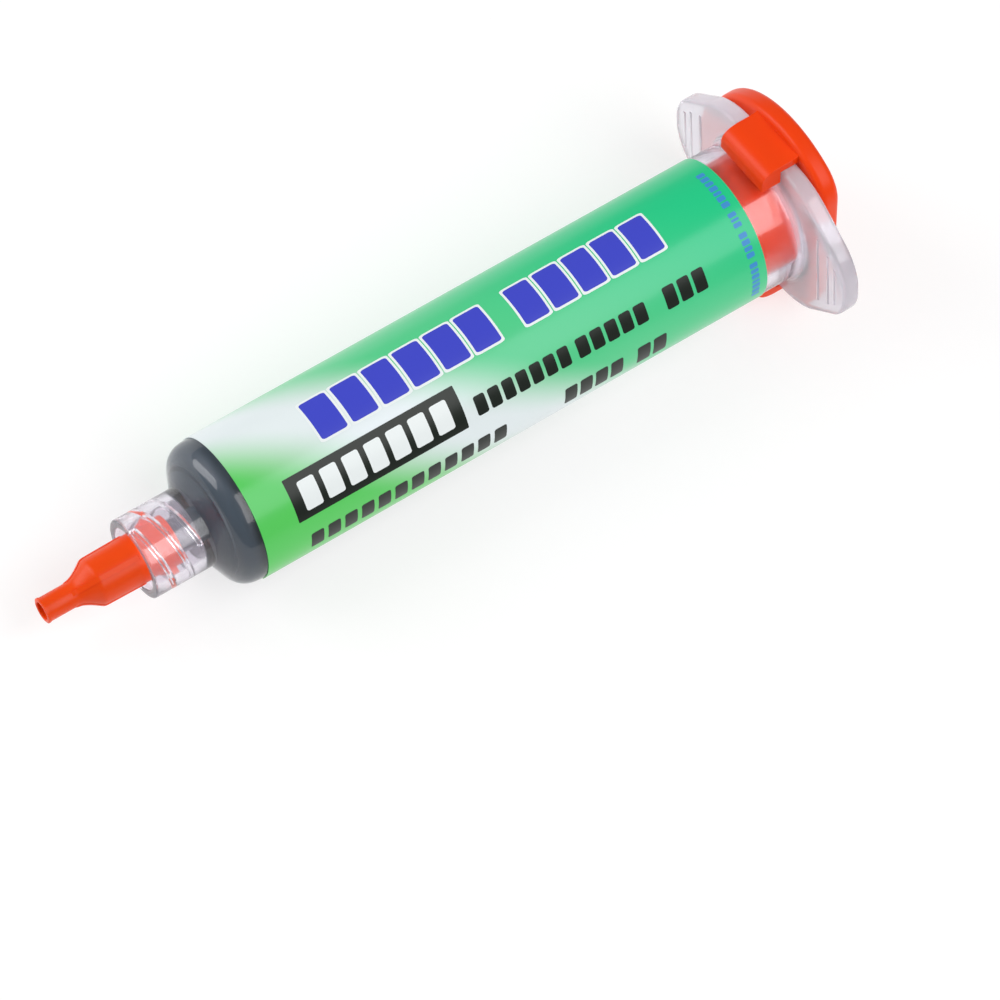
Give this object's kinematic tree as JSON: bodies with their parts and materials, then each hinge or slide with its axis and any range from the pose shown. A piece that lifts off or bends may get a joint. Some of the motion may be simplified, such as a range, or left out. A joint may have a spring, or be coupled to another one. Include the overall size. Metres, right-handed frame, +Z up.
{
  "type": "solder paste syringe",
  "caption": "Clear dispensing syringe barrel filled with grey solder paste, with a printed green label, an orange tip cap and an orange hooked end cap, lying on its side.",
  "frame": {"origin": "centre of the bounding box at the level of the table it lies on", "axes": "+X from the tip cap to the end cap, +Z up; the barrel's axis rises 3.26 degrees towards the end cap, because it lies on the end cap's rim and on the front edge of its label, and the syringe is rolled 18 degrees about that axis, where it stays"},
  "size_m": [0.108, 0.0342, 0.028],
  "materials": {
    "clear_plastic": "gloss",
    "printed_film": "satin",
    "solder_paste": "satin",
    "piston_plastic": "satin",
    "orange_plastic": "gloss"
  },
  "bodies": {
    "barrel": {"barrel": "clear_plastic", "label": "printed_film", "solder_paste": "solder_paste"},
    "piston": {"piston": "piston_plastic"},
    "end_cap": {"end_cap": "orange_plastic"},
    "tip_cap": {"tip_cap": "orange_plastic"}
  },
  "joints": [
    {"name": "piston_slide", "type": "slide", "parent": "barrel", "child": "piston", "axis": [-0.9984, 0, -0.0569], "range_m": [0, 0.0489], "deforming": ["solder_paste"]},
    {"name": "end_cap_pull", "type": "slide", "parent": "barrel", "child": "end_cap", "axis": [0.9984, 0, 0.0569], "range_m": [0, 0.02], "deforming": ["end_cap"]},
    {"name": "tip_cap_pull", "type": "slide", "parent": "barrel", "child": "tip_cap", "axis": [-0.9984, 0, -0.0569], "range_m": [0, 0.015]}
  ]
}
